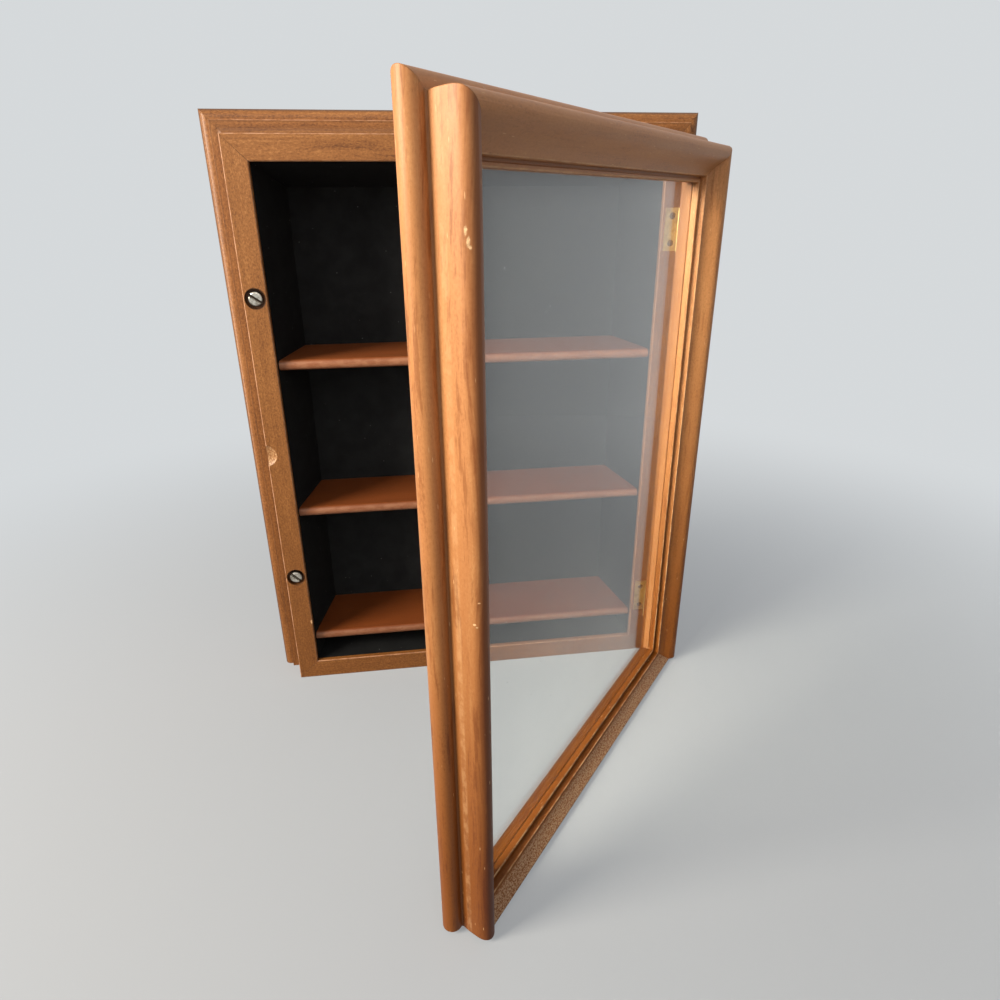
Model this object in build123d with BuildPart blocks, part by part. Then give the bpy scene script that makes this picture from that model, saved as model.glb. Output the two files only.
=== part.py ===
"""Wall or table display case with three shelves and a glazed, hinged door.

Frame: X to the right, +Y into the case, +Z up.  The origin is the centre of the
case's base, so the case's front face is the plane y = face_y.  Every size is in
millimetres.  The door is built at its rest pose, standing open on its hinge pins.
"""
import os
from math import cos, radians, sin

from build123d import *

os.makedirs("parts", exist_ok=True)

# ---------------------------------------------------------------- case: overall
opening_half = 94.0        # half the width of the case's front opening
opening_top = 275.2        # height of the opening's upper edge
face_w = 11.0              # flat face of the case moulding; also the bottom rail's height
flange_w = 11.0            # how far the moulding runs out beyond its flat face
case_depth = 50.0          # front face to the back of the box
mould_depth = 22.0         # front face to the back of the moulding
lip = 2.8                  # depth of the moulding's plain inner edge
lining_let_in = 2.0        # rebate behind that edge, which takes the linings
ease = 0.4                 # broken arris on the flat face

# case moulding, outside the flat face
recess_depth = 12.9        # floor of the recess beside the flat face
recess_cove = 3.0          # cove between the face's side wall and that floor
recess_w = 6.0             # recess, from the face's side wall to its outer step
bead_set_back = 15.4       # front of the outer bead, behind the flat face
bead_r = 3.6               # radius of the outer bead

# ---------------------------------------------------------------- box, back, linings
board_t = 8.0              # side and top boards of the box
panel_t = 3.0              # back panel
panel_rebate = 4.0         # how far the panel laps into the boards
back_lining_t = 2.5
lining_edge = 0.3          # front edge of each lining, set back from the opening's edge
side_taper = 8.0           # how far a side lining leans in, front to back
top_taper = 9.0            # the same for the top lining
floor_taper = 8.0          # the same for the floor lining
board_round = 1.0          # rounding of the box's two back corners

# ---------------------------------------------------------------- shelves
shelf_head_room = 87.7     # upper shelf to the opening's upper edge
shelf_lowest = 28.4        # top of the lowest shelf
shelf_names = ("shelf_upper", "shelf_middle", "shelf_lower")
shelf_t = 5.0
shelf_nose_r = 2.4
shelf_set_back = 0.6       # shelf nose, behind the moulding's inner edge

# ---------------------------------------------------------------- door
door_angle = 50.0          # how far the door stands open at rest
door_clear = 2.0           # door's lower edge above the surface the case stands on
door_t = 20.1              # back plane to the crest of the front bead
door_overhang = 6.6        # door's edge beyond the pins
door_drop = 0.9            # door's top edge below the top of the case's flat face
door_lap = 3.3             # closed door's free edge beyond the case's flat face
door_cut = 11.0            # width cut off the moulding along the door's bottom rail
member_w = 19.6            # door moulding, outer edge to sight edge
back_bead_r = 3.8          # half-round bead round the back of the door
glass_seat = 7.7           # front of the glass, above the door's back plane
glass_rebate = 3.0         # width of the rebate the glass lies in
glass_t = 2.0
glass_play = 0.4           # gap round the glass
stop_t = 3.0               # strips that hold the glass

# door moulding, as (in from the outer edge, up from the back plane)
bead_step = ((4.6, 7.6), (4.9, 8.2), (4.8, 8.8))
bead_front = ((4.5, 10.6), (4.3, 13.0), (4.2, 15.4), (4.4, 17.4), (5.2, 19.1))
bead_crest = 7.3           # in from the outer edge, at the full thickness
cove_down = ((9.0, 19.7), (10.6, 18.5), (12.0, 16.8), (13.8, 14.8))
cove_arris = (17.0, 13.0)
groove = ((17.3, 9.9), (18.2, 9.9), (18.4, 10.5))
lip_edge = ((0.3, 10.5), (0.0, 10.2))      # here in from the sight edge

# ---------------------------------------------------------------- hinges
pin_inset = 0.4            # pins, in from the flat face's outer arris
door_gap = 1.6             # case face to the closed door's back
hinge_h = 19.5
hinge_drop = 40.8          # middle of the upper hinge, below the face's upper edge
hinge_rise = 39.5          # middle of the lower hinge, above the case's base
leaf_t = 0.7
leaf_w = 9.2               # pin axis to the leaf's free edge
knuckle_r = 1.3
knuckles = 5
knuckle_play = 0.15        # between two knuckles
neck_start = 0.8           # each knuckle's neck runs from here, out from the pin's axis
neck_lap = 1.0             # to here, over the edge of its leaf
pin_r = 0.6
pin_fit = 0.08             # radial clearance of the pin in its knuckles
nail_inset = 3.4           # nail centres, from the leaf's free edge
nail_spacing = 12.3
nail_head_r = 1.5
nail_r = 0.6
nail_len = 8.0
nail_sink = 0.6            # depth of the nail's countersunk head
nail_dome = 0.1            # how far the head rises above the leaf
nail_tip = 0.6             # length of the nail's point
nail_fit = 0.05            # radial clearance of nail and screw in leaf and wood

# ---------------------------------------------------------------- catches
catch_drop = 68.7          # upper catch, below the face's upper edge
catch_rise = 68.0          # lower catch, above the case's base
slot_angles = (-35.0, -45.0)
catch_hole_r = 4.75        # recess round each screw head
catch_hole_depth = 2.6
screw_head_r = 3.45
screw_head_round = 0.9
screw_r = 1.65
screw_len = 12.0
screw_hole_play = 0.4      # hole's end beyond the screw's tip
slot_w = 1.4
slot_depth = 1.1
magnet_r = 4.75
magnet_t = 3.0
magnet_fit = 0.1           # radial clearance of the magnet in its pocket
magnet_gap = 0.3           # magnet to screw head with the door closed
magnet_chamfer = 0.25

# ---------------------------------------------------------------- derived sizes
face_y = -case_depth / 2
back_y = case_depth / 2
face_half = opening_half + face_w
outer_half = face_half + flange_w
face_top = opening_top + face_w
case_height = face_top + flange_w
lining_half = opening_half + lining_let_in
lining_top = opening_top + lining_let_in
lining_floor = face_w - lining_let_in
lining_front_y = face_y + lip
mould_back_y = face_y + mould_depth
panel_y = back_y - panel_t
lining_back_y = panel_y - back_lining_t
box_half = lining_half + board_t
box_top = lining_top + board_t
lining_mouth = opening_half - lining_edge
shelf_highest = opening_top - shelf_head_room
shelf_tops = (shelf_highest, (shelf_highest + shelf_lowest) / 2, shelf_lowest)

pin_x = face_half - pin_inset
pin_y = face_y - door_gap / 2
hinge_centres = (face_top - hinge_drop, hinge_rise)
catch_x = -(opening_half + face_w / 2)
catch_heights = (face_top - catch_drop, catch_rise)
door_free = pin_x + face_half + door_lap
door_width = door_free + door_overhang
door_foot = door_clear
door_head = face_top - door_drop
door_height = door_head - door_foot
door_back = door_gap / 2
sight_floor = door_foot + member_w - door_cut
rebate_edge = member_w - glass_rebate
glass_edge = rebate_edge + glass_play
knuckle_h = hinge_h / knuckles
knuckle_notch = knuckle_r + 0.3
leaf_clear = knuckle_r + 0.2

# the open door's own directions: along it from the pins, and out of its front
swing = radians(door_angle)
along = Vector(-cos(swing), -sin(swing), 0)
outward = Vector(sin(swing), -cos(swing), 0)
pin_foot = Vector(pin_x, pin_y, 0)

# door planes: local x and y are (along, outward), (outward, up) and (along, up)
door_plan = Plane(origin=pin_foot, x_dir=along, z_dir=(0, 0, 1))
door_section = Plane(origin=pin_foot, x_dir=outward, z_dir=along)
door_front = Plane(origin=pin_foot, x_dir=along, z_dir=-outward)


def save(piece, name):
    """Labels a finished piece and writes its STEP file."""
    piece.part.label = name
    export_step(piece.part, f"parts/{name}.step")


def case_outline(place):
    """Draws the case moulding; place turns (distance out from the opening, depth) into a point."""
    wall_end = recess_depth - recess_cove
    cove_mid = recess_cove * (1 - cos(radians(45)))
    step = face_w + recess_w
    bead_mid = bead_r * cos(radians(45))
    outer = face_w + flange_w
    bead_c = outer - bead_r
    Polyline(
        place(face_w, wall_end),
        place(face_w, ease),
        place(face_w - ease, 0),
        place(ease, 0),
        place(0, ease),
        place(0, lip),
        place(lining_let_in, lip),
        place(lining_let_in, mould_depth),
        place(outer, mould_depth),
        place(outer, bead_set_back + bead_r),
    )
    ThreePointArc(
        place(outer, bead_set_back + bead_r),
        place(bead_c + bead_mid, bead_set_back + bead_r - bead_mid),
        place(bead_c, bead_set_back),
    )
    Polyline(
        place(bead_c, bead_set_back),
        place(step, bead_set_back),
        place(step, recess_depth),
        place(face_w + recess_cove, recess_depth),
    )
    ThreePointArc(
        place(face_w + recess_cove, recess_depth),
        place(face_w + cove_mid, recess_depth - cove_mid),
        place(face_w, wall_end),
    )


def door_outline(place):
    """Draws the door moulding; place turns (distance in from the edge, height off the back)."""
    r = back_bead_r
    ThreePointArc(place(r, 0), place(0, r), place(r, 2 * r))
    crest = place(bead_crest, door_t)
    step = [place(*p) for p in bead_step]
    Polyline(place(r, 2 * r), *step)
    Spline(step[-1], *[place(*p) for p in bead_front], crest)
    Spline(crest, *[place(*p) for p in cove_down], place(*cove_arris))
    Polyline(
        place(*cove_arris),
        *[place(*p) for p in groove],
        *[place(member_w - d, v) for d, v in lip_edge],
        place(member_w, glass_seat),
        place(rebate_edge, glass_seat),
        place(rebate_edge, 0),
        place(r, 0),
    )


# ================================================================ case moulding
# Each member is a length of moulding trimmed by the mitred outline it fills.
left_shape = (
    (-opening_half, face_w),
    (-opening_half, opening_top),
    (-outer_half, case_height),
    (-outer_half, 0),
    (-face_half, 0),
)

with BuildPart() as case_stile_left:
    with BuildSketch(Plane.XY):
        with BuildLine():
            case_outline(lambda p, y: (-opening_half - p, face_y + y))
        make_face()
    extrude(amount=case_height)
    with BuildSketch(Plane.XZ):
        with BuildLine():
            Polyline(*left_shape, close=True)
        make_face()
    extrude(amount=case_depth, both=True, mode=Mode.INTERSECT)
    # recessed holes for the two catch screws
    with BuildSketch(Plane.XZ.offset(-face_y)):
        with Locations(*[(catch_x, z) for z in catch_heights]):
            Circle(catch_hole_r)
    extrude(amount=-catch_hole_depth, mode=Mode.SUBTRACT)
    with BuildSketch(Plane.XZ.offset(-face_y)):
        with Locations(*[(catch_x, z) for z in catch_heights]):
            Circle(screw_r + nail_fit)
    extrude(amount=-(catch_hole_depth + screw_len), mode=Mode.SUBTRACT)
save(case_stile_left, "case_stile_left")

with BuildPart() as case_stile_right:
    with BuildSketch(Plane.XY):
        with BuildLine():
            case_outline(lambda p, y: (opening_half + p, face_y + y))
        make_face()
    extrude(amount=case_height)
    with BuildSketch(Plane.XZ):
        with BuildLine():
            Polyline(*[(-x, z) for x, z in left_shape], close=True)
        make_face()
    extrude(amount=case_depth, both=True, mode=Mode.INTERSECT)
    for centre in hinge_centres:
        # notch for the knuckles, then the nail holes
        with BuildSketch(Plane.XY.offset(centre - hinge_h / 2 - knuckle_play)):
            with Locations((pin_x, pin_y)):
                Circle(knuckle_notch)
        extrude(amount=hinge_h + 2 * knuckle_play, mode=Mode.SUBTRACT)
        with BuildSketch(Plane.XZ.offset(-face_y)):
            with Locations((pin_x - leaf_w + nail_inset, centre)):
                with GridLocations(1, nail_spacing, 1, 2):
                    Circle(nail_r + nail_fit)
        extrude(amount=-nail_len, mode=Mode.SUBTRACT)
save(case_stile_right, "case_stile_right")

with BuildPart() as case_rail_top:
    with BuildSketch(Plane.YZ):
        with BuildLine():
            case_outline(lambda p, y: (face_y + y, opening_top + p))
        make_face()
    extrude(amount=outer_half, both=True)
    with BuildSketch(Plane.XZ):
        with BuildLine():
            Polyline(
                (-opening_half, opening_top),
                (opening_half, opening_top),
                (outer_half, case_height),
                (-outer_half, case_height),
                close=True,
            )
        make_face()
    extrude(amount=case_depth, both=True, mode=Mode.INTERSECT)
save(case_rail_top, "case_rail_top")

with BuildPart() as case_rail_bottom:
    with BuildSketch(Plane.YZ):
        with BuildLine():
            case_outline(lambda p, y: (face_y + y, face_w - p))
        make_face()
    extrude(amount=outer_half, both=True)
    with BuildSketch(Plane.XZ):
        with BuildLine():
            Polyline(
                (-opening_half, face_w),
                (opening_half, face_w),
                (face_half, 0),
                (-face_half, 0),
                close=True,
            )
        make_face()
    extrude(amount=case_depth, both=True, mode=Mode.INTERSECT)
save(case_rail_bottom, "case_rail_bottom")

# ================================================================ box behind the moulding
panel_half = lining_half + panel_rebate
panel_top = lining_top + panel_rebate
panel_foot = lining_floor - panel_rebate

for side, name in ((-1, "box_side_left"), (1, "box_side_right")):
    with BuildPart() as box_side:
        with BuildSketch(Plane.XY):
            with BuildLine():
                Polyline(
                    (side * lining_half, mould_back_y),
                    (side * box_half, mould_back_y),
                    (side * box_half, back_y),
                    (side * lining_half, back_y),
                    close=True,
                )
            make_face()
        extrude(amount=box_top)
        with BuildSketch(Plane.XY.offset(panel_foot)):
            with BuildLine():
                Polyline(
                    (side * lining_half, panel_y),
                    (side * panel_half, panel_y),
                    (side * panel_half, back_y),
                    (side * lining_half, back_y),
                    close=True,
                )
            make_face()
        extrude(amount=panel_top - panel_foot, mode=Mode.SUBTRACT)
        outer_edges = box_side.edges().filter_by(Axis.Z).group_by(Axis.X)[0 if side < 0 else -1]
        fillet(outer_edges.sort_by(Axis.Y)[-1], board_round)
    save(box_side, name)

with BuildPart() as box_top_board:
    with BuildSketch(Plane.YZ):
        with BuildLine():
            Polyline(
                (mould_back_y, lining_top),
                (mould_back_y, box_top),
                (back_y, box_top),
                (back_y, panel_top),
                (panel_y, panel_top),
                (panel_y, lining_top),
                close=True,
            )
        make_face()
    extrude(amount=lining_half, both=True)
save(box_top_board, "box_top")

with BuildPart() as box_floor:
    with BuildSketch(Plane.YZ):
        with BuildLine():
            Polyline(
                (mould_back_y, 0),
                (mould_back_y, lining_floor),
                (panel_y, lining_floor),
                (panel_y, panel_foot),
                (back_y, panel_foot),
                (back_y, 0),
                close=True,
            )
        make_face()
    extrude(amount=lining_half, both=True)
save(box_floor, "box_floor")

with BuildPart() as back_panel:
    with BuildSketch(Plane.XZ.offset(-panel_y)):
        with Locations((0, panel_foot)):
            Rectangle(2 * panel_half, panel_top - panel_foot, align=(Align.CENTER, Align.MIN))
    extrude(amount=-panel_t)
save(back_panel, "back_panel")

# ================================================================ felt-covered linings
with BuildPart() as lining_back:
    with BuildSketch(Plane.XZ.offset(-lining_back_y)):
        with Locations((0, lining_floor)):
            Rectangle(2 * lining_half, lining_top - lining_floor, align=(Align.CENTER, Align.MIN))
    extrude(amount=-back_lining_t)
save(lining_back, "lining_back")

for side, name in ((-1, "lining_left"), (1, "lining_right")):
    with BuildPart() as lining_side:
        with BuildSketch(Plane.XY.offset(lining_floor)):
            with BuildLine():
                Polyline(
                    (side * lining_half, lining_front_y),
                    (side * lining_mouth, lining_front_y),
                    (side * (lining_mouth - side_taper), lining_back_y),
                    (side * lining_half, lining_back_y),
                    close=True,
                )
            make_face()
        extrude(amount=lining_top - lining_floor)
    save(lining_side, name)

# plan of the space between the two side linings, and its half-width at any depth
between_sides = (
    (-lining_mouth, lining_front_y),
    (lining_mouth, lining_front_y),
    (lining_mouth - side_taper, lining_back_y),
    (-lining_mouth + side_taper, lining_back_y),
)


def half_width(y):
    """Half the clear width between the side linings at depth y."""
    return lining_mouth - side_taper * (y - lining_front_y) / (lining_back_y - lining_front_y)


with BuildPart() as lining_top_piece:
    with BuildSketch(Plane.YZ):
        with BuildLine():
            Polyline(
                (lining_front_y, lining_top),
                (lining_front_y, opening_top - lining_edge),
                (lining_back_y, opening_top - lining_edge - top_taper),
                (lining_back_y, lining_top),
                close=True,
            )
        make_face()
    extrude(amount=lining_half, both=True)
    with BuildSketch(Plane.XY.offset(opening_top - 2 * top_taper)):
        with BuildLine():
            Polyline(*between_sides, close=True)
        make_face()
    extrude(amount=3 * top_taper, mode=Mode.INTERSECT)
save(lining_top_piece, "lining_top")

with BuildPart() as lining_floor_piece:
    with BuildSketch(Plane.YZ):
        with BuildLine():
            Polyline(
                (lining_front_y, lining_floor),
                (lining_front_y, face_w + lining_edge),
                (lining_back_y, face_w + lining_edge + floor_taper),
                (lining_back_y, lining_floor),
                close=True,
            )
        make_face()
    extrude(amount=lining_half, both=True)
    with BuildSketch(Plane.XY):
        with BuildLine():
            Polyline(*between_sides, close=True)
        make_face()
    extrude(amount=3 * floor_taper, mode=Mode.INTERSECT)
save(lining_floor_piece, "lining_floor")

# ================================================================ shelves
shelf_front_y = lining_front_y + shelf_set_back

for top, name in zip(shelf_tops, shelf_names):
    with BuildPart() as shelf:
        with BuildSketch(Plane.XY.offset(top - shelf_t)):
            with BuildLine():
                Polyline(
                    (-half_width(shelf_front_y), shelf_front_y),
                    (half_width(shelf_front_y), shelf_front_y),
                    (half_width(lining_back_y), lining_back_y),
                    (-half_width(lining_back_y), lining_back_y),
                    close=True,
                )
            make_face()
        extrude(amount=shelf_t)
        fillet(shelf.edges().filter_by(Axis.X).group_by(Axis.Y)[0], shelf_nose_r)
    save(shelf, name)

# ================================================================ catch screws
with BuildPart() as catch_screws:
    for z, angle in zip(catch_heights, slot_angles):
        head_floor = Plane(origin=(catch_x, face_y + catch_hole_depth, z), x_dir=(1, 0, 0), z_dir=(0, -1, 0))
        with BuildSketch(Plane(origin=(catch_x, 0, z), x_dir=(1, 0, 0), z_dir=(0, 0, 1))):
            with BuildLine():
                head_y = face_y + catch_hole_depth
                tip_y = head_y + screw_len - screw_hole_play
                Polyline(
                    (0, tip_y),
                    (0, face_y),
                    (screw_head_r - screw_head_round, face_y),
                    (screw_head_r - 0.3 * screw_head_round, face_y + 0.3 * screw_head_round),
                    (screw_head_r, face_y + screw_head_round),
                    (screw_head_r, head_y),
                    (screw_r, head_y),
                    (screw_r, tip_y - 2 * screw_r),
                    close=True,
                )
            make_face()
        revolve(axis=Axis((catch_x, 0, z), (0, 1, 0)))
        with BuildSketch(head_floor.offset(catch_hole_depth - slot_depth)):
            Rectangle(2.2 * screw_head_r, slot_w, rotation=angle)
        extrude(amount=2 * slot_depth, mode=Mode.SUBTRACT)
save(catch_screws, "catch_screws")

# ================================================================ door moulding
top_corner = door_head - member_w
hinge_sight = member_w - door_overhang
free_sight = door_free - member_w

with BuildPart() as door_stile_closing:
    with BuildSketch(door_plan.offset(door_foot)):
        with BuildLine():
            door_outline(lambda d, v: (door_free - d, door_back + v))
        make_face()
    extrude(amount=door_height)
    with BuildSketch(door_front):
        with BuildLine():
            Polyline(
                (door_free, door_foot),
                (door_free, door_head),
                (free_sight, top_corner),
                (free_sight, sight_floor),
                (door_free - door_cut, door_foot),
                close=True,
            )
        make_face()
    extrude(amount=2 * door_t, both=True, mode=Mode.INTERSECT)
    # pockets for the magnets that meet the catch screws
    with BuildSketch(door_front.offset(-door_back)):
        with Locations(*[(pin_x - catch_x, z) for z in catch_heights]):
            Circle(magnet_r + magnet_fit)
    extrude(amount=-(magnet_t - door_gap + magnet_gap), mode=Mode.SUBTRACT)
save(door_stile_closing, "door_stile_closing")

with BuildPart() as door_stile_hinge:
    with BuildSketch(door_plan.offset(door_foot)):
        with BuildLine():
            door_outline(lambda d, v: (d - door_overhang, door_back + v))
        make_face()
    extrude(amount=door_height)
    with BuildSketch(door_front):
        with BuildLine():
            Polyline(
                (-door_overhang, door_foot),
                (-door_overhang, door_head),
                (hinge_sight, top_corner),
                (hinge_sight, sight_floor),
                (door_cut - door_overhang, door_foot),
                close=True,
            )
        make_face()
    extrude(amount=2 * door_t, both=True, mode=Mode.INTERSECT)
    for centre in hinge_centres:
        with BuildSketch(door_plan.offset(centre - hinge_h / 2 - knuckle_play)):
            Circle(knuckle_notch)
        extrude(amount=hinge_h + 2 * knuckle_play, mode=Mode.SUBTRACT)
        with BuildSketch(door_front.offset(-door_back)):
            with Locations((leaf_w - nail_inset, centre)):
                with GridLocations(1, nail_spacing, 1, 2):
                    Circle(nail_r + nail_fit)
        extrude(amount=-nail_len, mode=Mode.SUBTRACT)
save(door_stile_hinge, "door_stile_hinge")

with BuildPart() as door_rail_top:
    with BuildSketch(door_section.offset(-door_overhang)):
        with BuildLine():
            door_outline(lambda d, v: (door_back + v, door_head - d))
        make_face()
    extrude(amount=door_width)
    with BuildSketch(door_front):
        with BuildLine():
            Polyline(
                (-door_overhang, door_head),
                (door_free, door_head),
                (free_sight, top_corner),
                (hinge_sight, top_corner),
                close=True,
            )
        make_face()
    extrude(amount=2 * door_t, both=True, mode=Mode.INTERSECT)
save(door_rail_top, "door_rail_top")

with BuildPart() as door_rail_bottom:
    with BuildSketch(door_section.offset(-door_overhang)):
        with BuildLine():
            door_outline(lambda d, v: (door_back + v, door_foot + d - door_cut))
        make_face()
    extrude(amount=door_width)
    with BuildSketch(door_front):
        with BuildLine():
            Polyline(
                (door_cut - door_overhang, door_foot),
                (door_free - door_cut, door_foot),
                (free_sight, sight_floor),
                (hinge_sight, sight_floor),
                close=True,
            )
        make_face()
    extrude(amount=2 * door_t, both=True, mode=Mode.INTERSECT)
save(door_rail_bottom, "door_rail_bottom")

# ================================================================ glass and its stops
glass_lo = glass_edge - door_overhang
glass_hi = door_free - glass_edge
glass_foot = door_foot + glass_edge - door_cut
glass_head = door_head - glass_edge

with BuildPart() as door_glass:
    with BuildSketch(door_front.offset(-(door_back + glass_seat - glass_t))):
        with Locations((glass_lo, glass_foot)):
            Rectangle(glass_hi - glass_lo, glass_head - glass_foot, align=(Align.MIN, Align.MIN))
    extrude(amount=-glass_t)
save(door_glass, "door_glass")

# outer and inner corners of the ring of stops, from the lower corner at the hinges
# to the lower free corner and on round
stop_floor = door_foot + rebate_edge - door_cut
stop_out = (
    (rebate_edge - door_overhang, stop_floor),
    (door_free - rebate_edge, stop_floor),
    (door_free - rebate_edge, door_head - rebate_edge),
    (rebate_edge - door_overhang, door_head - rebate_edge),
)
stop_in = (
    (hinge_sight, sight_floor),
    (free_sight, sight_floor),
    (free_sight, top_corner),
    (hinge_sight, top_corner),
)
stop_names = ("glass_stop_bottom", "glass_stop_closing", "glass_stop_top", "glass_stop_hinge")

for i, name in enumerate(stop_names):
    j = (i + 1) % 4
    with BuildPart() as glass_stop:
        with BuildSketch(door_front.offset(-(door_back + glass_seat - glass_t - stop_t))):
            with BuildLine():
                Polyline(stop_out[i], stop_out[j], stop_in[j], stop_in[i], close=True)
            make_face()
        extrude(amount=-stop_t)
    save(glass_stop, name)

# ================================================================ catch magnets
for z, name in zip(catch_heights, ("magnet_upper", "magnet_lower")):
    with BuildPart() as magnet:
        with BuildSketch(door_front.offset(-magnet_gap + door_gap / 2)):
            with Locations((pin_x - catch_x, z)):
                Circle(magnet_r)
        extrude(amount=-magnet_t)
        chamfer(magnet.edges(), magnet_chamfer)
    save(magnet, name)

# ================================================================ hinges
# The case leaf lies on the case's face and the door leaf on the door's back.  The
# knuckles alternate up the pin: the first, third and fifth belong to the case leaf.
for centre, place in zip(hinge_centres, ("upper", "lower")):
    foot = centre - hinge_h / 2

    with BuildPart() as case_leaf:
        with BuildSketch(Plane.XY.offset(foot)):
            with BuildLine():
                Polyline(
                    (pin_x - leaf_w, face_y - leaf_t),
                    (pin_x - leaf_clear, face_y - leaf_t),
                    (pin_x - leaf_clear, face_y),
                    (pin_x - leaf_w, face_y),
                    close=True,
                )
            make_face()
        extrude(amount=hinge_h)
        for k in range(0, knuckles, 2):
            low = foot + k * knuckle_h + (knuckle_play / 2 if k else 0)
            tall = knuckle_h - knuckle_play * (1 if 0 < k < knuckles - 1 else 0.5)
            with BuildSketch(Plane.XY.offset(low)):
                with Locations((pin_x, pin_y)):
                    Circle(knuckle_r)
                with BuildLine():
                    Polyline(
                        (pin_x - leaf_clear - neck_lap, face_y - leaf_t),
                        (pin_x - neck_start, face_y - leaf_t),
                        (pin_x - neck_start, face_y),
                        (pin_x - leaf_clear - neck_lap, face_y),
                        close=True,
                    )
                make_face()
            extrude(amount=tall)
        with BuildSketch(Plane.XY.offset(foot)):
            with Locations((pin_x, pin_y)):
                Circle(pin_r + pin_fit)
        extrude(amount=hinge_h, mode=Mode.SUBTRACT)
        for dz in (-nail_spacing / 2, nail_spacing / 2):
            with Locations(Location((pin_x - leaf_w + nail_inset, face_y - leaf_t, centre + dz), (90, 0, 0))):
                CounterSinkHole(nail_r + nail_fit, nail_head_r + nail_fit, depth=leaf_t * 3)
    save(case_leaf, f"hinge_{place}_case_leaf")

    with BuildPart() as door_leaf:
        with BuildSketch(door_plan.offset(foot)):
            with BuildLine():
                Polyline(
                    (leaf_clear, door_back - leaf_t),
                    (leaf_w, door_back - leaf_t),
                    (leaf_w, door_back),
                    (leaf_clear, door_back),
                    close=True,
                )
            make_face()
        extrude(amount=hinge_h)
        for k in range(1, knuckles, 2):
            with BuildSketch(door_plan.offset(foot + k * knuckle_h + knuckle_play / 2)):
                Circle(knuckle_r)
                with BuildLine():
                    Polyline(
                        (neck_start, door_back - leaf_t),
                        (leaf_clear + neck_lap, door_back - leaf_t),
                        (leaf_clear + neck_lap, door_back),
                        (neck_start, door_back),
                        close=True,
                    )
                make_face()
            extrude(amount=knuckle_h - knuckle_play)
        with BuildSketch(door_plan.offset(foot)):
            Circle(pin_r + pin_fit)
        extrude(amount=hinge_h, mode=Mode.SUBTRACT)
        for dz in (-nail_spacing / 2, nail_spacing / 2):
            leaf_face = door_front.offset(leaf_t - door_back)
            with Locations(Location(leaf_face) * Location((leaf_w - nail_inset, centre + dz, 0))):
                CounterSinkHole(nail_r + nail_fit, nail_head_r + nail_fit, depth=leaf_t * 3)
    save(door_leaf, f"hinge_{place}_door_leaf")

    with BuildPart() as pin:
        with BuildSketch(Plane.XY.offset(foot)):
            with Locations((pin_x, pin_y)):
                Circle(pin_r)
        extrude(amount=hinge_h)
    save(pin, f"hinge_{place}_pin")

# nails: the head is a countersunk disc, very slightly domed, on a plain shank
nail_shape = (
    (0, -nail_dome),
    (nail_head_r / 2, -0.6 * nail_dome),
    (nail_head_r - nail_dome, 0),
    (nail_head_r, 0.6 * nail_dome),
    (nail_r, nail_sink),
    (nail_r, nail_len - nail_dome - nail_tip),
    (0, nail_len - nail_dome),
)

with BuildPart() as case_nails:
    for centre in hinge_centres:
        for dz in (-nail_spacing / 2, nail_spacing / 2):
            x = pin_x - leaf_w + nail_inset
            with BuildSketch(Plane.XY.offset(centre + dz)):
                with BuildLine():
                    Polyline(*[(x + r, face_y - leaf_t + h) for r, h in nail_shape], close=True)
                make_face()
            revolve(axis=Axis((x, 0, centre + dz), (0, 1, 0)))
save(case_nails, "hinge_case_nails")

with BuildPart() as door_nails:
    for centre in hinge_centres:
        for dz in (-nail_spacing / 2, nail_spacing / 2):
            u = leaf_w - nail_inset
            with BuildSketch(door_plan.offset(centre + dz)):
                with BuildLine():
                    Polyline(*[(u + r, door_back - leaf_t + h) for r, h in nail_shape], close=True)
                make_face()
            revolve(axis=Axis(pin_foot + along * u + Vector(0, 0, centre + dz), outward))
save(door_nails, "hinge_door_nails")
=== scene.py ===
# %% [markdown]
# # A small glazed display case
# The real object is a shallow wooden case for thimbles: a stepped moulding round a box lined
# with black felt, three thin shelves, and a glazed door that hangs on two small brass hinges.
# The imported model brings every solid in its place, in metres, X to the right, Y into the
# case and Z up.  This lesson gives each of them its finish, adds the marks of use, and sets
# up a plain studio.

# %% Load the imported model
from math import cos, radians, sin

import bmesh
import bpy
import numpy as np
from mathutils import Matrix, Vector


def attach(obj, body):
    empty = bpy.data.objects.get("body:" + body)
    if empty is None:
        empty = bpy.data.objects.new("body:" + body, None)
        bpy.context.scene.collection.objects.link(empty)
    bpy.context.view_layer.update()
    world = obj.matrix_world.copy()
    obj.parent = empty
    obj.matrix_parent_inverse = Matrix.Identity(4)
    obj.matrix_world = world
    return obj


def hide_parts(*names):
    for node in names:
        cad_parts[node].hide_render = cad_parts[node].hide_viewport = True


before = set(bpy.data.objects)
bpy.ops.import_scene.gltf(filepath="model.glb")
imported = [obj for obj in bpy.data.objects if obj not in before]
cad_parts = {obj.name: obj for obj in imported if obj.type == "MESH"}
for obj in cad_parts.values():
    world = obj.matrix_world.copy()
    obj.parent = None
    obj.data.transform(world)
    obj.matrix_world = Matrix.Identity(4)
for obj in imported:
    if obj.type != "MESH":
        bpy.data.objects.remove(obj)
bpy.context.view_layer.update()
scene = bpy.context.scene
print("pieces in the packed model:", len(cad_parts))

# %% [markdown]
# ## The camera
# A camera near the case, a little above its top and turned slightly to the right, gives the
# strong perspective in which the open door looms.  A camera is a matrix: its columns are the
# directions of its right, its up and its back, and its place.  Building it from three angles
# is more exact here than aiming a constraint, and easy to read.

# %% Camera
CAMERA_PLACE = Vector((-0.02979, -0.36570, 0.25685))
YAW, PITCH, ROLL = radians(7.527), radians(23.504), radians(-0.483)
FOCAL_SHARE = 0.67777           # focal length as a share of the sensor's width
SENSOR_MM = 36.0

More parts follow.
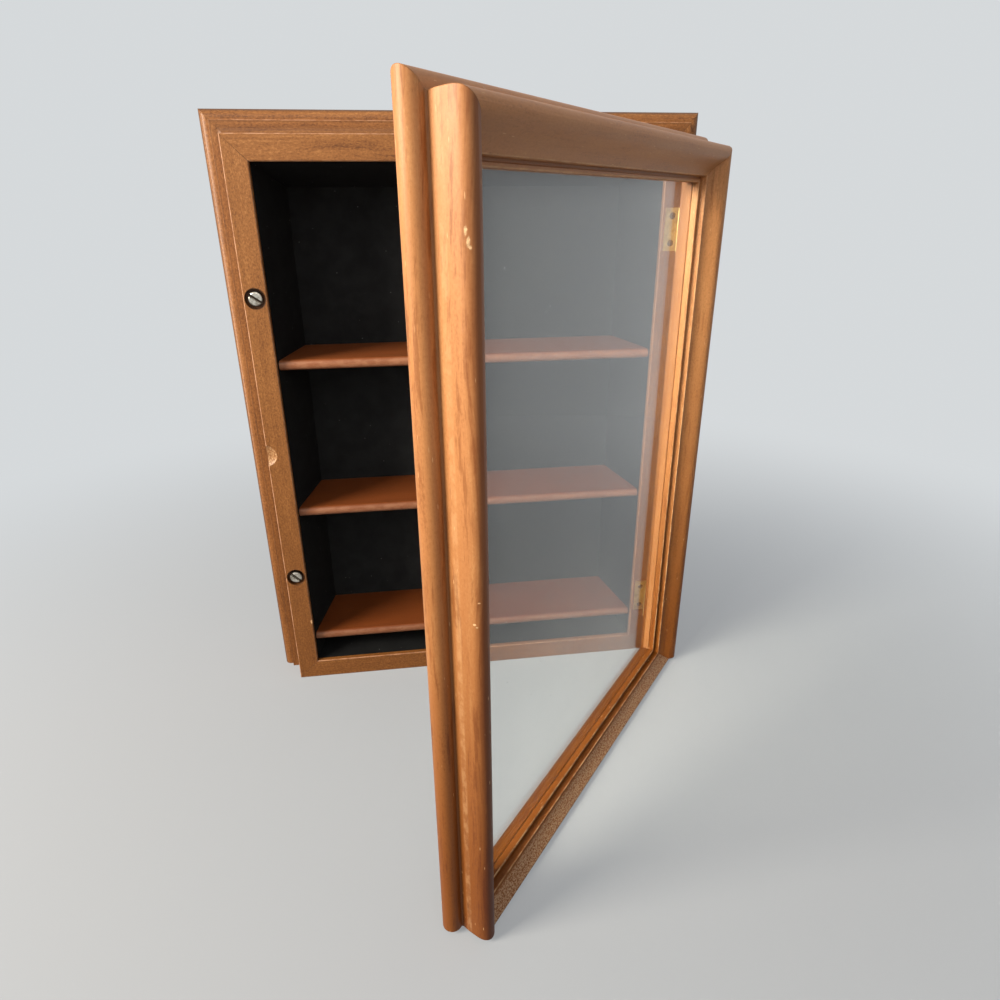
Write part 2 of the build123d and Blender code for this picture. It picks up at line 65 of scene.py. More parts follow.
ahead = Vector((sin(YAW) * cos(PITCH), cos(YAW) * cos(PITCH), -sin(PITCH)))
level = Vector((cos(YAW), -sin(YAW), 0.0))
upward = level.cross(ahead)
right = cos(ROLL) * level + sin(ROLL) * upward
above = cos(ROLL) * upward - sin(ROLL) * level

camera = bpy.data.objects.new("camera", bpy.data.cameras.new("camera"))
scene.collection.objects.link(camera)
camera.data.sensor_width = SENSOR_MM
camera.data.lens = FOCAL_SHARE * SENSOR_MM
camera.data.clip_start = 0.01
turned = Matrix((right, above, -ahead)).transposed().to_4x4()
camera.matrix_world = Matrix.Translation(CAMERA_PLACE) @ turned
scene.camera = camera
print("lens in mm:", round(camera.data.lens, 2))

# %% [markdown]
# ## Writing shaders as sums
# A wood finish needs dozens of shader nodes.  Placed one by one they are hard to read, so two
# small classes stand in for them.  A Wire is one output of a node, and adding, multiplying or
# comparing wires adds the Math nodes for it.  A Finish is a material in the making, and its
# methods add the other nodes: noise, mixes, distances and bumps.

# %% Wires: node outputs that can be added and multiplied
def feed(tree, socket, value):
    """Puts a wire, a number or a colour into a socket."""
    if isinstance(value, Wire):
        tree.links.new(value.socket, socket)
    elif isinstance(value, tuple) and len(value) == 3 and socket.type == "RGBA":
        socket.default_value = (*value, 1.0)
    else:
        socket.default_value = value


class Wire:
    """One output of a shader node; arithmetic on it adds Math nodes."""

    def __init__(self, tree, socket):
        self.tree, self.socket = tree, socket

    def math(self, operation, *others):
        """A Math node with this wire as its first input."""
        node = self.tree.nodes.new("ShaderNodeMath")
        node.operation = operation
        for socket, value in zip(node.inputs, (self, *others)):
            feed(self.tree, socket, value)
        return Wire(self.tree, node.outputs[0])

    def __add__(self, other):
        return self.math("ADD", other)

    def __sub__(self, other):
        return self.math("SUBTRACT", other)

    def __mul__(self, other):
        return self.math("MULTIPLY", other)

    def __truediv__(self, other):
        return self.math("DIVIDE", other)

    def rise(self, low, high):
        """Smooth step: 0 up to low, 1 from high on."""
        node = self.tree.nodes.new("ShaderNodeMapRange")
        node.interpolation_type = "SMOOTHSTEP"
        for name, value in (("Value", self), ("From Min", low), ("From Max", high)):
            feed(self.tree, node.inputs[name], value)
        return Wire(self.tree, node.outputs[0])

    def fall(self, low, high):
        """Smooth step the other way: 1 up to low, 0 from high on."""
        return self.rise(low, high) * -1.0 + 1.0


# %% Finish: a material in the making
MIX_FACTOR, MIX_FIRST, MIX_SECOND, MIX_RESULT = 0, 6, 7, 2     # the colour sockets of a Mix node


class Finish:
    """A material whose nodes are added by short calls."""

    def __init__(self, name):
        self.material = bpy.data.materials.new(name)
        self.material.use_nodes = True
        self.tree = self.material.node_tree
        self.tree.nodes.clear()
        self.end = self.tree.nodes.new("ShaderNodeOutputMaterial")
        self.place = self.node("TexCoord", output="Object")

    def node(self, kind, inputs=None, output=0, **settings):
        """Adds a node, sets it up and gives one of its outputs."""
        node = self.tree.nodes.new("ShaderNode" + kind)
        for key, value in settings.items():
            setattr(node, key, value)
        for key, value in (inputs or {}).items():
            feed(self.tree, node.inputs[key], value)
        return Wire(self.tree, node.outputs[output])

    def millimetres(self, direction, origin):
        """How far the shaded point lies from origin along direction, both given in mm."""
        centre = tuple(v / 1000 for v in origin)
        away = self.node("VectorMath", {0: self.place, 1: centre}, operation="SUBTRACT")
        scaled = tuple(1000 * v for v in direction)
        return self.node("VectorMath", {0: away, 1: scaled}, "Value", operation="DOT_PRODUCT")

    def point(self, x, y, z):
        """A vector from three wires or numbers."""
        return self.node("CombineXYZ", {"X": x, "Y": y, "Z": z})

    def noise(self, where, detail=2.0, rough=0.5):
        """Cloudy noise, about 0.5 on average, whose blobs are about one unit of where across."""
        inputs = {"Vector": where, "Scale": 1.0, "Detail": detail, "Roughness": rough}
        return self.node("TexNoise", inputs, output="Fac")

    def cells(self, where, output="Distance"):
        """Voronoi cells one unit apart: the distance to the nearest centre, or its colour."""
        return self.node("TexVoronoi", {"Vector": where, "Scale": 1.0}, output=output)

    def apart(self, a, b):
        """Distance between two points."""
        return self.node("VectorMath", {0: a, 1: b}, output="Value", operation="DISTANCE")

    def mix(self, amount, a, b, blend="MIX"):
        """Colour a where amount is 0, colour b where it is 1."""
        return self.node(
            "Mix", {MIX_FACTOR: amount, MIX_FIRST: a, MIX_SECOND: b}, MIX_RESULT,
            data_type="RGBA", blend_type=blend, clamp_factor=True,
        )

    def bump(self, height, depth_mm, under=None):
        """A surface normal for a height of 0 to 1 that is depth_mm deep."""
        inputs = {"Height": height, "Distance": depth_mm / 1000, "Strength": 1.0}
        if under is not None:
            inputs["Normal"] = under
        return self.node("Bump", inputs)

    def surface(self, wire):
        """Ends the material with its shader."""
        self.tree.links.new(wire.socket, self.end.inputs["Surface"])
        return self.material


# %% [markdown]
# ## Coordinates that follow each length of moulding
# Grain runs along a stick of wood, so a stile and a rail need the same pattern turned by a
# quarter.  Each length of moulding gets its own three coordinates in millimetres: along the
# stick, across its face from the opening or the outer edge, and through its thickness.  With
# them a finish can also find the moulding's arrises and mitres, where wear and dirt show.
# The door's pieces use the open door's own directions.

# %% Main sizes in millimetres
OPENING_HALF, OPENING_TOP, FACE_W = 94.0, 275.2, 11.0
FACE_Y = -25.0
DOOR_ANGLE = radians(50.0)
PIN = (104.6, -25.8, 0.0)
DOOR_OVERHANG, DOOR_FREE = 6.6, 212.9        # the door's two edges, from the pin
DOOR_FOOT, DOOR_HEAD = 2.0, 285.3            # its lower and upper edge
DOOR_CUT = 11.0                 # the bottom rail lacks this much of the full section
DOOR_GAP = 0.8                  # pin's axis to the door's back plane

X, Y, Z = (1.0, 0.0, 0.0), (0.0, 1.0, 0.0), (0.0, 0.0, 1.0)
ALONG = (-cos(DOOR_ANGLE), -sin(DOOR_ANGLE), 0.0)
OUTWARD = (sin(DOOR_ANGLE), -cos(DOOR_ANGLE), 0.0)


def minus(v):
    """The opposite direction."""
    return tuple(-a for a in v)


def from_pin(u, v, z):
    """The point u along the open door, v out of its back plane and z up, in mm."""
    v = v + DOOR_GAP
    return tuple(PIN[i] + u * ALONG[i] + v * OUTWARD[i] + z * Z[i] for i in range(3))


# %% Each stick's directions: along, across, through, and where they start
STICKS = {
    "case_stile_left": (Z, minus(X), Y, (-OPENING_HALF, FACE_Y, 0.0)),
    "case_stile_right": (Z, X, Y, (OPENING_HALF, FACE_Y, 0.0)),
    "case_rail_top": (X, Z, Y, (0.0, FACE_Y, OPENING_TOP)),
    "case_rail_bottom": (X, minus(Z), Y, (0.0, FACE_Y, FACE_W)),
    "door_stile_closing": (Z, minus(ALONG), OUTWARD, from_pin(DOOR_FREE, 0, 0)),
    "door_stile_hinge": (Z, ALONG, OUTWARD, from_pin(-DOOR_OVERHANG, 0, 0)),
    "door_rail_top": (ALONG, minus(Z), OUTWARD, from_pin(0, 0, DOOR_HEAD)),
    "door_rail_bottom": (ALONG, Z, OUTWARD, from_pin(0, 0, DOOR_FOOT - DOOR_CUT)),
}
# each mitre on the case is the line a * along + b * across + c = 0, with its darkness
MITRES = {
    "case_stile_left": ((1, -1, -OPENING_TOP, 0.75), (1, 1, -FACE_W, 0.6)),
    "case_stile_right": ((1, -1, -OPENING_TOP, 0.75), (1, 1, -FACE_W, 0.6)),
    "case_rail_top": ((1, 1, OPENING_HALF, 0.75), (1, -1, -OPENING_HALF, 0.75)),
    "case_rail_bottom": ((1, 1, OPENING_HALF, 0.7), (1, -1, -OPENING_HALF, 0.7)),
}
# arrises, which are paler, and grooves, darkened as painted shade, in the cross-section: (across,
# through, reach, strength)
CASE_ARRISES = ((0.2, 0.2, 0.40, 0.40), (10.85, 0.15, 0.42, 0.55), (17.1, 15.4, 0.7, 0.50))
CASE_GROOVE_SHADE = ((12.5, 12.9, 3.6, 0.34), (17.0, 13.4, 1.3, 0.38), (22.4, 18.0, 3.0, 0.75))
# the door's third line, along the front bead's lit edge, is a painted highlight; the others are
# worn arrises
DOOR_ARRISES = ((17.0, 13.0, 0.45, 0.6), (19.5, 10.4, 0.45, 0.6), (4.4, 11.4, 1.5, 0.25))
DOOR_GROOVE_SHADE = ((4.8, 8.1, 1.0, 0.35), (17.75, 9.9, 0.5, 0.20))
DUST_LIES = (12.0, 17.0)                # across and through, the middle of the dusty hollow
# painted shade on the door's bead flanks that face away from the lamp, in the same form
DOOR_SHADED_FLANKS = {
    "door_stile_closing": ((3.9, 7.0, 2.2, 0.20), (9.2, 18.4, 5.6, 0.80)),
    "door_rail_bottom": ((17.8, 11.5, 3.4, 0.15),),
}

# %% [markdown]
# ## Stained wood
# The mouldings are a pale, close-grained wood under a brown stain and a satin varnish.  Noises
# stretched along the stick by different amounts make it: wide clouds, long streaks, short
# speckles, fine fibres, and on the door dark flames where the stain sank in.  Worn arrises
# and fine ticks show paler wood, as does a painted highlight along the door's front bead;
# grooves and the screw holes get painted shade, mitres hold dark stain, and chips are bare.
# Painted shade also darkens the door's flanks turned from the lamp, and the pieces towards
# the floor.  A Bevel node rounds the highlights on edges that a hand would find soft.

# %% The stained wood finish
WORN_WOOD = (0.66, 0.37, 0.22)
FLANK_SHADE = (0.66, 0.52, 0.36)         # what the dark tone is multiplied by for the painted shade on a flank
FOOT_SHADE = (0.39, 0.27, 0.11)         # and what the painted shade near the foot multiplies it by
FOOT_FADES = (10.0, 250.0)              # heights in mm between which that painted shade fades out
RAW_WOOD, SPLINTER = (0.84, 0.51, 0.25), 0.62    # bare wood, and how dark its splinters are
DUST = (0.56, 0.36, 0.205)              # pale grit caught in a hollow
SHADE_AND_JOINT_DARK = 0.38                        # how dark the painted shade in grooves and holes, and a mitre's dark joint, are beside the darkest tone
SHINE, FOOT_DULL = 0.36, 0.20           # the varnish's specular level, and its loss at the foot
SINE_45 = 0.7071                        # turns a mitre's two coordinates into a distance


def strongest(first, second):
    """The larger of two masks, where the first may still be missing."""
    return second if first is None else first.math("MAXIMUM", second)


def stained_wood(name, stick, tones, arrises=(), groove_shade_marks=(), mitres=(), chips=(), holes=(),
                 seed=0.0, gloss=0.44, speckle=1.0, streak=0.7, fibrous=0.5, flames=0.0,
                 ticks=0.0, dusty=0.0, wear_and_highlight=WORN_WOOD, uneven=0.8, flanks=(), flecks=0.0,
                 foot=0.0):
    """Satin-varnished, stained wood whose grain follows a stick.

    The tone is 0.5 plus a weighted sum of noises less 0.5, at points (along / a, across / b,
    through / b) with a larger than b, so that every blob is drawn out along the stick.  From
    speckle to ticks the numbers weigh one kind of mark each, uneven says how patchy the pale
    line on an arris is, and foot how much painted shade, darker towards the floor, this stick
    has.
    """
    light, mid, dark = tones
    f = Finish(name)
    along, across, through, origin = stick
    run = f.millimetres(along, origin)
    wide = f.millimetres(across, origin)
    deep = f.millimetres(through, origin)
    drift = f.noise(f.point(run / 60.0 + seed, wide / 25.0, deep / 25.0), 1.0) - 0.5
    w, d = wide + drift * 6.0, deep + drift * 4.0

    cloud = f.noise(f.point(run / 34.0 + seed, w / 9.0, d / 9.0), 2.0)
    streaks = f.noise(f.point(run / 75.0, w / 1.6 + seed, d / 1.6), 3.0, 0.55)
    short = f.noise(f.point(run / 1.2, w / 0.65, d / 0.65 + seed), 3.0, 0.62)
    fibre = f.noise(f.point(run / 3.6, w / 0.24, d / 0.24), 2.0)
    tone = ((cloud - 0.5) * 0.60 + (streaks - 0.5) * streak + (short - 0.5) * speckle
            + (fibre - 0.5) * fibrous + 0.5)
    colour = f.mix(tone.rise(0.02, 0.50), dark, mid)
    colour = f.mix(tone.rise(0.50, 0.98), colour, light)
    if flames:
        flame = f.noise(f.point(run / 26.0 + seed, w / 2.2, d / 2.2), 4.0, 0.65)
        colour = f.mix(flame.rise(0.53, 0.66) * flames, colour, dark)
    if flecks:
        fleck = f.noise(f.point(run / 1.1, wide / 0.75, deep / 0.75 + seed), 3.0, 0.75)
        colour = f.mix(fleck.rise(0.53, 0.66) * flecks, colour, light)
        colour = f.mix(fleck.fall(0.36, 0.47) * flecks, colour, dark)

    section = f.point(0.0, wide, deep)
    flank_shade_mask = None
    # painted shade: flanks turned away from the lamp are darker and more saturated
    for at_w, at_d, reach, strength in flanks:
        wavy = (streaks - 0.5) * 2.5 + (cloud - 0.5) * 2.0
        near = f.apart(section, (0.0, at_w, at_d)) + wavy
        flank_shade_mask = strongest(flank_shade_mask, near.fall(reach * 0.55, reach) * strength)
    if flank_shade_mask is not None:
        colour = f.mix(flank_shade_mask, colour, tuple(a * b for a, b in zip(dark, FLANK_SHADE)))
    shine = SHINE
    # painted shade: darker and browner towards the floor, where less light reaches
    if foot:
        low = f.millimetres(Z, (0.0, 0.0, 0.0)).fall(*FOOT_FADES)
        colour = f.mix(low * foot, colour, FOOT_SHADE, blend="MULTIPLY")
        shine = low * (-FOOT_DULL * foot) + SHINE

    # painted shade in the grooves and round the holes' walls; the mitres are dark joints
    shade_and_joints = None
    for at_w, at_d, reach, strength in groove_shade_marks:
        near = f.apart(section, (0.0, at_w, at_d)).fall(reach * 0.2, reach)
        shade_and_joints = strongest(shade_and_joints, near * strength)
    for a, b, c, strength in mitres:
        a, b, c = (v * SINE_45 for v in (a, b, c))
        gap = (run * a + wide * b + c).math("ABSOLUTE")
        fades = wide.fall(1.0, 9.5) * 0.75 + 0.25
        shade_and_joints = strongest(shade_and_joints, gap.fall(0.05, 0.20) * fades * deep.fall(0.5, 1.5) * strength)
    for at_run, at_w, radius in holes:
        off = f.apart(f.point(run, wide, 0.0), (at_run, at_w, 0.0))
        shade_and_joints = strongest(shade_and_joints, off.fall(radius + 0.05, radius + 0.5) * 0.65)
    if shade_and_joints is not None:
        colour = f.mix(shade_and_joints, colour, tuple(v * SHADE_AND_JOINT_DARK for v in dark))

    # paler lines: worn arrises and ticks, and on the door's front bead and the shelves' noses a
    # painted highlight
    wear_and_highlight_mask = None
    patchy = f.noise(f.point(run / 5.0 + seed, wide / 3.0, deep / 3.0), 4.0, 0.7)
    for at_w, at_d, reach, strength in arrises:
        line = f.apart(section, (0.0, at_w, at_d)).fall(reach * 0.4, reach)
        broken = patchy.rise(0.38, 0.60) * uneven + (1.0 - uneven)
        wear_and_highlight_mask = strongest(wear_and_highlight_mask, line * broken * strength)
    if ticks:
        where = f.point(run / 2.2 + wide * 0.5, wide / 0.32, deep / 0.32 + seed)
        chance = f.node("SeparateColor", {0: f.cells(where, "Color")})
        tick = f.cells(where).fall(0.20, 0.50) * chance.rise(0.992, 0.996)
        wear_and_highlight_mask = strongest(wear_and_highlight_mask, tick * ticks)
    if wear_and_highlight_mask is not None:
        colour = f.mix(wear_and_highlight_mask, colour, wear_and_highlight)

    height = fibre * 0.30 + short * 0.25 + streaks * 0.15
    if chips:
        ragged = f.noise(f.point(run / 1.0, wide / 0.7, deep / 0.7), 3.0, 0.7) - 0.5
        scar = None
        for at_run, at_w, at_d, r_run, r_w, r_d, lean, rough in chips:
            side = wide - at_w - (run - at_run) * lean
            spot = f.point((run - at_run) / r_run, side / r_w, (deep - at_d) / r_d)
            reach = f.apart(spot, (0.0, 0.0, 0.0)) + ragged * rough
            scar = strongest(scar, reach.fall(0.98 - 0.3 * rough, 1.03))
        slanted = f.point(run / 5.0 + wide / 4.0, wide / 0.50 - run / 0.62, deep / 1.2)
        splinter = f.noise(slanted, 3.0, 0.6)
        raw = f.mix(splinter.rise(0.38, 0.62), tuple(v * SPLINTER for v in RAW_WOOD), RAW_WOOD)
        colour = f.mix(scar, colour, raw)
        height = height - scar * 0.8 + splinter * scar * 1.2

    if dusty:
        grit = f.noise(f.point(run / 0.75, wide / 0.6, deep / 0.6), 3.0, 0.8)
        dusty = f.apart(section, (0.0,) + DUST_LIES).fall(4.6, 5.8) * dusty
        colour = f.mix(grit.rise(0.40, 0.58) * dusty, colour, DUST)
        colour = f.mix(grit.fall(0.32, 0.42) * dusty * 0.6, colour, dark)
        height = height + grit * dusty * 1.6

    roughness = short * 0.12 + patchy * 0.10 + (gloss - 0.10)
    soft = f.node("Bevel", {"Radius": 0.0003}, samples=4)
    skin = f.node("BsdfPrincipled", {
        "Base Color": colour, "Roughness": roughness, "Normal": f.bump(height, 0.07, soft),
        "Specular IOR Level": shine, "Coat Weight": 0.06, "Coat Roughness": 0.35,
    })
    return f.surface(skin)


# %% Stain on the case's moulding and on the door
# each stain is a light, a middle and a dark tone
CASE_STAIN = ((0.43, 0.185, 0.055), (0.270, 0.102, 0.024), (0.130, 0.042, 0.008))
DOOR_STAIN = ((0.64, 0.315, 0.120), (0.530, 0.220, 0.072), (0.270, 0.084, 0.018))
# chips are ellipsoids: (along, across, through, their three radii, lean, raggedness)
SCOOP = (139.9, 12.8, -1.6, 6.6, 7.6, 3.5)
CHIPS = {
    "case_stile_left": (SCOOP + (0.0, 0.18), (38.3, 0.4, 0.2, 1.6, 0.7, 0.7, 0.0, 0.9)),
    "door_stile_closing": (
        (251.7, 4.9, 17.7, 1.6, 0.65, 0.60, 0.15, 0.9),
        (249.4, 5.2, 18.2, 1.9, 0.80, 0.65, 0.15, 0.9),
        (248.0, 5.6, 18.6, 1.0, 0.90, 0.60, 0.15, 0.9),
        (245.2, 6.5, 19.1, 1.2, 0.60, 0.70, 0.15, 0.9),
        (150.8, 5.6, 18.7, 0.45, 0.90, 0.6, 0.3, 0.7),
        (143.2, 4.6, 17.4, 0.45, 0.70, 0.6, 0.3, 0.7),
        (142.4, 5.1, 18.0, 0.40, 0.70, 0.6, 0.3, 0.7),
    ),
    "door_rail_top": ((182.9, 1.8, 6.2, 1.0, 0.60, 0.9, 0.0, 0.9),),
}
# recessed holes, with painted shade round their walls: (along, across, radius)
HOLES = {"case_stile_left": ((217.5, 5.5, 4.75), (68.0, 5.5, 4.75))}

# how strongly each stick shows dark flames, flecks and long streaks, where it differs
FLAMES = {
    "door_stile_closing": 0.65, "door_stile_hinge": 0.5,
    "door_rail_top": 0.15, "door_rail_bottom": 0.3,
}
FLECKS = {
    "case_stile_left": 0.50, "door_stile_hinge": 0.35, "case_stile_right": 0.55,
    "case_rail_top": 0.25, "case_rail_bottom": 0.6,
}
STREAKS = {"case_rail_top": 1.1, "door_rail_top": 0.40}


def dress(nodes, material):
    """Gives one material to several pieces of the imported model."""
    for node in nodes:
        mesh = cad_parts[node].data
        mesh.materials.clear()
        mesh.materials.append(material)


for number, (node, stick) in enumerate(STICKS.items()):
    on_door = node.startswith("door")
    dress([node], stained_wood(
        "stain_" + node, stick, DOOR_STAIN if on_door else CASE_STAIN,
        arrises=DOOR_ARRISES if on_door else CASE_ARRISES,
        groove_shade_marks=DOOR_GROOVE_SHADE if on_door else CASE_GROOVE_SHADE,
        mitres=() if on_door else MITRES[node], chips=CHIPS.get(node, ()),
        holes=HOLES.get(node, ()), seed=3.7 * number,
        speckle=0.55 if on_door else 1.4, streak=STREAKS.get(node, 0.60),
        fibrous=0.35 if on_door else 0.6, flames=FLAMES.get(node, 0.0),
        ticks=0.8 if on_door else 0.0, gloss=0.46,
        dusty=0.7 if node == "door_rail_bottom" else 0.0,
        flanks=DOOR_SHADED_FLANKS.get(node, ()),
        flecks=FLECKS.get(node, 0.15), foot=1.0 if on_door else 0.45,
        # yellowish: wear on the arrises, and a painted highlight along the front bead
        wear_and_highlight=(0.74, 0.44, 0.21) if on_door else WORN_WOOD,
    ))
print("mouldings stained:", len(STICKS))

# %% [markdown]
# ### A real scoop
# Somebody has knocked a shallow scoop out of the left stile's outer arris.  It is cut from a
# merged copy of the stile with an ellipsoid, and the stain's mask uses the same ellipsoid, so
# that its floor shows bare wood.

# %% Cut the scoop
def ellipsoid(name, centre, radii, rings=40, around=64):
    """A closed ellipsoid: centre + radii * (sin p cos q, sin p sin q, cos p), all in metres."""
    p = np.linspace(0.0, np.pi, rings + 1)[1:-1, None]
    q = np.linspace(0.0, 2 * np.pi, around, endpoint=False)[None, :]
    points = np.stack([np.sin(p) * np.cos(q), np.sin(p) * np.sin(q), np.cos(p) + 0 * q], axis=-1)
    points = np.vstack([points.reshape(-1, 3), [[0, 0, 1], [0, 0, -1]]]) * radii + centre
    at = np.arange((rings - 1) * around).reshape(rings - 1, around)
    nxt = np.roll(at, -1, axis=1)
    quads = np.stack([at[:-1], at[1:], nxt[1:], nxt[:-1]], axis=-1).reshape(-1, 4).tolist()
    top, bottom = len(points) - 2, len(points) - 1
    caps = [[top, a, b] for a, b in zip(at[0], nxt[0])]
    caps += [[bottom, b, a] for a, b in zip(at[-1], nxt[-1])]
    mesh = bpy.data.meshes.new(name)
    mesh.from_pydata(points.tolist(), [], quads + [list(map(int, c)) for c in caps])
    return bpy.data.objects.new(name, mesh)


def scooped(node, name, centre, radii):
    """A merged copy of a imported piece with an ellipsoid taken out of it."""
    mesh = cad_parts[node].data.copy()
    merged = bmesh.new()
    merged.from_mesh(mesh)
    bmesh.ops.remove_doubles(merged, verts=merged.verts, dist=1e-7)
    merged.to_mesh(mesh)
    merged.free()
    piece = bpy.data.objects.new(name, mesh)
    cutter = ellipsoid("cutter", centre, radii)
    for thing in (piece, cutter):
        scene.collection.objects.link(thing)
    cut = piece.modifiers.new("scoop", "BOOLEAN")
    cut.operation, cut.solver, cut.object = "DIFFERENCE", "EXACT", cutter
    cut_piece = piece.evaluated_get(bpy.context.evaluated_depsgraph_get())
    result = bpy.data.meshes.new_from_object(cut_piece)
    piece.modifiers.clear()
    piece.data = result
    bpy.data.objects.remove(cutter)
    result.materials.clear()
    result.materials.append(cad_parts[node].data.materials[0])
    return piece


along, across, through, r_run, r_w, r_d = SCOOP
worn_stile = scooped(
    "case_stile_left", "left_stile_with_scoop",
    np.array([-(OPENING_HALF + across), FACE_Y + through, along]) / 1000,
    np.array([r_w, r_d, r_run]) / 1000,
)
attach(worn_stile, "case")
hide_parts("case_stile_left")
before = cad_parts["case_stile_left"].data
print("faces before and after the scoop:", len(before.polygons), len(worn_stile.data.polygons))

# %% [markdown]
# ## Box, shelves and glass stops
# The box behind the moulding is the same wood with a darker stain.  The shelves are thin
# boards stained reddish brown; their rounded noses carry a painted highlight, dimmer lower down.
# The stops that hold the glass are little square strips of the moulding's wood.

# %% Finish for the plain boards
BOX_TONES = ((0.36, 0.17, 0.08), (0.27, 0.115, 0.047), (0.15, 0.055, 0.02))
SHELF_TONES = ((0.30, 0.088, 0.022), (0.225, 0.060, 0.015), (0.140, 0.033, 0.008))
SHELF_FRONT = -21.6             # y of the shelves' noses
SHELF_TOPS = (187.5, 107.95, 28.4)
NOSE_HIGHLIGHT, NOSE_HIGHLIGHT_FADE = (0.36, 0.148, 0.070), (1.0, 0.78, 0.66)  # painted highlight, dimmer on each lower shelf
BOARDS = {
    "box_side_left": (Z, X, Y, (-100.0, 0.0, 0.0)),
    "box_side_right": (Z, X, Y, (100.0, 0.0, 0.0)),
    "box_top": (X, Z, Y, (0.0, 0.0, 280.0)),
    "box_floor": (X, Z, Y, (0.0, 0.0, 5.0)),
}
for number, (node, stick) in enumerate(BOARDS.items()):
    dress([node], stained_wood("board_" + node, stick, BOX_TONES, seed=5.1 * number + 40.0))
for number, top in enumerate(SHELF_TOPS):
    node = ("shelf_upper", "shelf_middle", "shelf_lower")[number]
    stick = (X, Z, Y, (0.0, SHELF_FRONT, top))
    # painted highlight along the nose
    nose_highlight_line = ((-2.6, -0.4, 3.4, 0.95),)
    dress([node], stained_wood(
        "stain_" + node, stick, SHELF_TONES, arrises=nose_highlight_line, seed=9.0 * number + 60.0, speckle=0.35,
        streak=0.35, wear_and_highlight=tuple(v * NOSE_HIGHLIGHT_FADE[number] for v in NOSE_HIGHLIGHT), uneven=0.55,
        flecks=0.25, foot=0.5,
    ))

STOPS = {
    "glass_stop_top": (ALONG, minus(Z), OUTWARD, from_pin(0, 0, DOOR_HEAD)),
    "glass_stop_bottom": (ALONG, Z, OUTWARD, from_pin(0, 0, 0)),
    "glass_stop_closing": (Z, minus(ALONG), OUTWARD, from_pin(DOOR_FREE, 0, 0)),
    "glass_stop_hinge": (Z, ALONG, OUTWARD, from_pin(0, 0, 0)),
}
for number, (node, stick) in enumerate(STOPS.items()):
    dress([node], stained_wood("stain_" + node, stick, DOOR_STAIN, seed=2.3 * number + 90.0,
                               foot=1.0 if node == "glass_stop_bottom" else 0.0))

# %% [markdown]
# ## Hardboard back, felt, metal and glass
# Each of these is one short material.  Hardboard is pressed fibre: brown, speckled and matt.
# Felt is almost black, with a faint sheen of upright fibres and a few specks of lint.  The
# brass leaves are dull yellow with brown tarnish in blotches, and the nails in them are
# browner.  The catch screws and magnets are plated steel.

# %% Hardboard
def hardboard():
    """Brown pressed fibre, mottled finely and in wide clouds."""
    f = Finish("pressed_hardboard")
    x, y, z = (f.millimetres(a, (0, 0, 0)) for a in (X, Y, Z))
    fibres = f.noise(f.point(x / 0.9, y / 0.9, z / 0.9), 4.0, 0.7)
    clouds = f.noise(f.point(x / 35.0, y / 35.0, z / 35.0), 2.0)
    tone = fibres * 0.6 + clouds * 0.4
    colour = f.mix(tone.rise(0.35, 0.65), (0.15, 0.085, 0.045), (0.27, 0.165, 0.095))
    skin = f.node("BsdfPrincipled", {
        "Base Color": colour, "Roughness": fibres * 0.2 + 0.65, "Normal": f.bump(fibres, 0.12),
    })
    return f.surface(skin)


dress(["back_panel"], hardboard())

# %% Felt
BACK_FELT = (0.0165, 0.0168, 0.0168)
SIDE_FELT_PAINTED_DARKER = (0.0082, 0.0083, 0.0082)    # painted shade: darker than the back, so that the sides, which catch more light, look as dark
LINT = (0.16, 0.16, 0.155)


def felt(name, black):
    """Black pile with lint: white where a sparse cell's centre is near."""
    f = Finish(name)
    x, y, z = (f.millimetres(a, (0, 0, 0)) for a in (X, Y, Z))
    pile = f.noise(f.point(x / 0.35, y / 0.35, z / 0.35), 3.0, 0.7)
    naps = f.noise(f.point(x / 9.0, y / 9.0, z / 9.0), 3.0, 0.6)
    where = f.point(x / 3.4, y / 3.4, z / 3.4)
    chance = f.node("SeparateColor", {0: f.cells(where, "Color")})
    speck = f.cells(where).fall(0.035, 0.085) * chance.rise(0.62, 0.72)
    lying, raised = (tuple(v * share for v in black) for share in (0.85, 1.15))
    colour = f.mix(naps.rise(0.3, 0.7), lying, raised)
    colour = f.mix(speck, colour, LINT)
    skin = f.node("BsdfPrincipled", {
        "Base Color": colour, "Roughness": pile * 0.1 + 0.9, "Normal": f.bump(pile, 0.12),
        "Specular IOR Level": 0.05, "Sheen Weight": 0.01, "Sheen Roughness": 0.5,
    })
    return f.surface(skin)


dress(["lining_back"], felt("black_felt_on_the_back", BACK_FELT))
dress(["lining_left", "lining_right", "lining_top", "lining_floor"],
      felt("black_felt_on_the_sides", SIDE_FELT_PAINTED_DARKER))

# %% Brass and steel
SLOT_DARK_AND_RIM_SHADE = (0.055, 0.038, 0.028)
HEAD_ENDS = (4.0, 4.2)          # past these distances in mm a point isn't on that screw's head
HEAD_EDGE = (2.7, 3.3)          # between these the painted shade at the head's edge sets in


